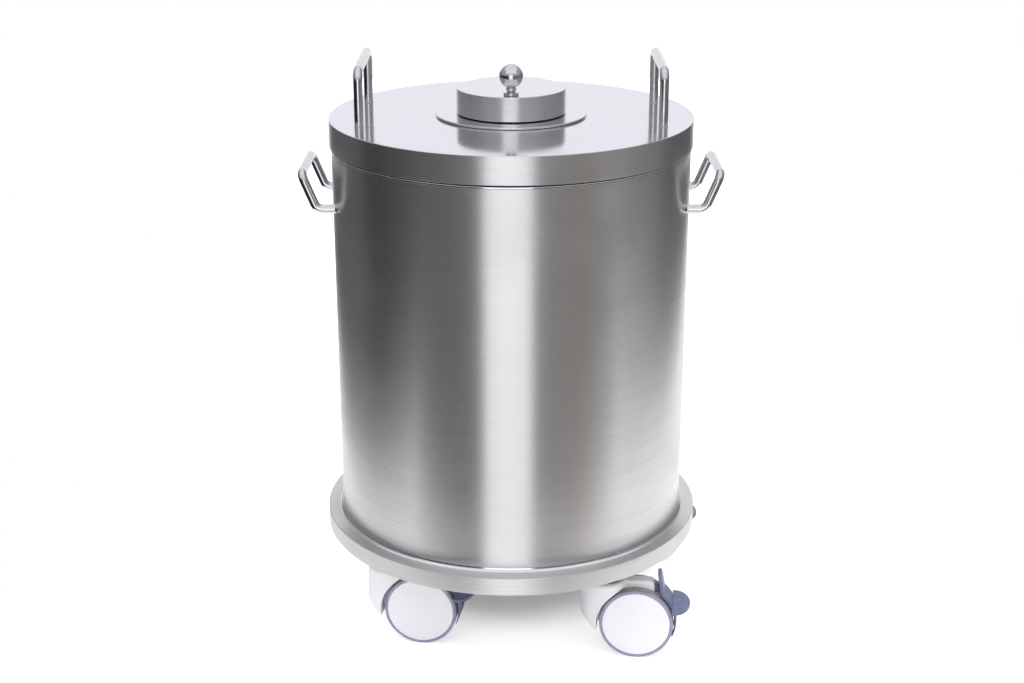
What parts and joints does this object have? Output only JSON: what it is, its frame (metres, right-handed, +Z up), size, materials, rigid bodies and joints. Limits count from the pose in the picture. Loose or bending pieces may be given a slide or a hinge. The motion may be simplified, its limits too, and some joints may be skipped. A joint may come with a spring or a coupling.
{
  "type": "shielded waste container",
  "caption": "Round lead-lined stainless steel waste drum with a lift-off lid, hinged port cap with ball knob, rod handles and swivel casters with lock pedals.",
  "frame": {"origin": "on the floor, under the drum's axis", "axes": "+Z up along the drum's axis, -Y towards the front, +X to the right seen from the front"},
  "size_m": [0.5614, 0.52, 0.787],
  "materials": {
    "brushed_stainless": "brushed round the drum",
    "satin_stainless": "satin",
    "polished_stainless": "polished bar",
    "cast_lead": "cast, dull",
    "black_rubber": "matt",
    "white_plastic": "moulded, semi-gloss",
    "blue_grey_plastic": "moulded, satin",
    "grey_tread_rubber": "non-marking tread, matt",
    "blackened_steel": "black, satin"
  },
  "bodies": {
    "drum": {"base_plate": "satin_stainless", "outer_shell": "brushed_stainless", "lead_sleeve": "cast_lead", "lead_floor": "cast_lead", "inner_liner": "brushed_stainless", "rim_ring": "brushed_stainless", "lid_seal": "black_rubber", "side_handle_left": "polished_stainless", "side_handle_right": "polished_stainless", "front_left_mount": "blackened_steel", "front_right_mount": "blackened_steel", "rear_left_mount": "blackened_steel", "rear_right_mount": "blackened_steel"},
    "lid": {"lid_shell": "brushed_stainless", "lid_lead": "cast_lead", "lid_underplate": "brushed_stainless", "port_collar": "brushed_stainless", "port_sleeve": "brushed_stainless", "lid_handle_left": "polished_stainless", "lid_handle_right": "polished_stainless", "hinge_bracket": "polished_stainless", "hinge_pin": "polished_stainless"},
    "port_cap": {"cap_shell": "brushed_stainless", "cap_lead": "cast_lead", "cap_plug": "brushed_stainless", "cap_seal": "black_rubber", "ball_knob": "polished_stainless", "knob_stud": "polished_stainless", "hinge_strap": "polished_stainless"},
    "front_left_fork": {"front_left_housing": "white_plastic", "front_left_axle": "polished_stainless"},
    "front_left_near_roller": {"front_left_near_wheel": "white_plastic", "front_left_near_tyre": "grey_tread_rubber"},
    "front_left_far_roller": {"front_left_far_wheel": "white_plastic", "front_left_far_tyre": "grey_tread_rubber"},
    "front_left_lock": {"front_left_pedal": "blue_grey_plastic"},
    "front_right_fork": {"front_right_housing": "white_plastic", "front_right_axle": "polished_stainless"},
    "front_right_near_roller": {"front_right_near_wheel": "white_plastic", "front_right_near_tyre": "grey_tread_rubber"},
    "front_right_far_roller": {"front_right_far_wheel": "white_plastic", "front_right_far_tyre": "grey_tread_rubber"},
    "front_right_lock": {"front_right_pedal": "blue_grey_plastic"},
    "rear_left_fork": {"rear_left_housing": "white_plastic", "rear_left_axle": "polished_stainless"},
    "rear_left_near_roller": {"rear_left_near_wheel": "white_plastic", "rear_left_near_tyre": "grey_tread_rubber"},
    "rear_left_far_roller": {"rear_left_far_wheel": "white_plastic", "rear_left_far_tyre": "grey_tread_rubber"},
    "rear_left_lock": {"rear_left_pedal": "blue_grey_plastic"},
    "rear_right_fork": {"rear_right_housing": "white_plastic", "rear_right_axle": "polished_stainless"},
    "rear_right_near_roller": {"rear_right_near_wheel": "white_plastic", "rear_right_near_tyre": "grey_tread_rubber"},
    "rear_right_far_roller": {"rear_right_far_wheel": "white_plastic", "rear_right_far_tyre": "grey_tread_rubber"},
    "rear_right_lock": {"rear_right_pedal": "blue_grey_plastic"}
  },
  "joints": [
    {"name": "lid_lift", "type": "slide", "parent": "drum", "child": "lid", "axis": [0, 0, 1], "range_m": [0, 0.25]},
    {"name": "cap_hinge", "type": "hinge", "parent": "lid", "child": "port_cap", "pos_m": [0, 0.086, 0.724], "axis": [-1, 0, 0], "range_deg": [0, 100]},
    {"name": "front_left_swivel", "type": "hinge", "parent": "drum", "child": "front_left_fork", "pos_m": [-0.1651, -0.11517, 0.12], "axis": [0, 0, 1], "continuous": true},
    {"name": "front_left_near_roll", "type": "hinge", "parent": "front_left_fork", "child": "front_left_near_roller", "pos_m": [-0.12074, -0.12276, 0.05], "axis": [0.1685, 0.9857, 0], "continuous": true},
    {"name": "front_left_far_roll", "type": "hinge", "parent": "front_left_fork", "child": "front_left_far_roller", "pos_m": [-0.12074, -0.12276, 0.05], "axis": [0.1685, 0.9857, 0], "continuous": true},
    {"name": "front_left_release", "type": "hinge", "parent": "front_left_fork", "child": "front_left_lock", "pos_m": [-0.10694, -0.12511, 0.095], "axis": [-0.1685, -0.9857, 0], "range_deg": [0, 14]},
    {"name": "front_right_swivel", "type": "hinge", "parent": "drum", "child": "front_right_fork", "pos_m": [0.12696, -0.15622, 0.12], "axis": [0, 0, 1], "continuous": true},
    {"name": "front_right_near_roll", "type": "hinge", "parent": "front_right_fork", "child": "front_right_near_roller", "pos_m": [0.17167, -0.16131, 0.05], "axis": [0.1132, 0.9936, 0], "continuous": true},
    {"name": "front_right_far_roll", "type": "hinge", "parent": "front_right_fork", "child": "front_right_far_roller", "pos_m": [0.17167, -0.16131, 0.05], "axis": [0.1132, 0.9936, 0], "continuous": true},
    {"name": "front_right_release", "type": "hinge", "parent": "front_right_fork", "child": "front_right_lock", "pos_m": [0.18558, -0.1629, 0.095], "axis": [-0.1132, -0.9936, 0], "range_deg": [0, 14]},
    {"name": "rear_left_swivel", "type": "hinge", "parent": "drum", "child": "rear_left_fork", "pos_m": [-0.12696, 0.15622, 0.12], "axis": [0, 0, 1], "continuous": true},
    {"name": "rear_left_near_roll", "type": "hinge", "parent": "rear_left_fork", "child": "rear_left_near_roller", "pos_m": [-0.08202, 0.15386, 0.05], "axis": [0.0523, 0.9986, 0], "continuous": true},
    {"name": "rear_left_far_roll", "type": "hinge", "parent": "rear_left_fork", "child": "rear_left_far_roller", "pos_m": [-0.08202, 0.15386, 0.05], "axis": [0.0523, 0.9986, 0], "continuous": true},
    {"name": "rear_left_release", "type": "hinge", "parent": "rear_left_fork", "child": "rear_left_lock", "pos_m": [-0.06804, 0.15313, 0.095], "axis": [-0.0523, -0.9986, 0], "range_deg": [0, 14]},
    {"name": "rear_right_swivel", "type": "hinge", "parent": "drum", "child": "rear_right_fork", "pos_m": [0.1651, 0.11517, 0.12], "axis": [0, 0, 1], "continuous": true},
    {"name": "rear_right_near_roll", "type": "hinge", "parent": "rear_right_fork", "child": "rear_right_near_roller", "pos_m": [0.20981, 0.12027, 0.05], "axis": [-0.1132, 0.9936, 0], "continuous": true},
    {"name": "rear_right_far_roll", "type": "hinge", "parent": "rear_right_fork", "child": "rear_right_far_roller", "pos_m": [0.20981, 0.12027, 0.05], "axis": [-0.1132, 0.9936, 0], "continuous": true},
    {"name": "rear_right_release", "type": "hinge", "parent": "rear_right_fork", "child": "rear_right_lock", "pos_m": [0.22372, 0.12185, 0.095], "axis": [0.1132, -0.9936, 0], "range_deg": [0, 14]}
  ]
}
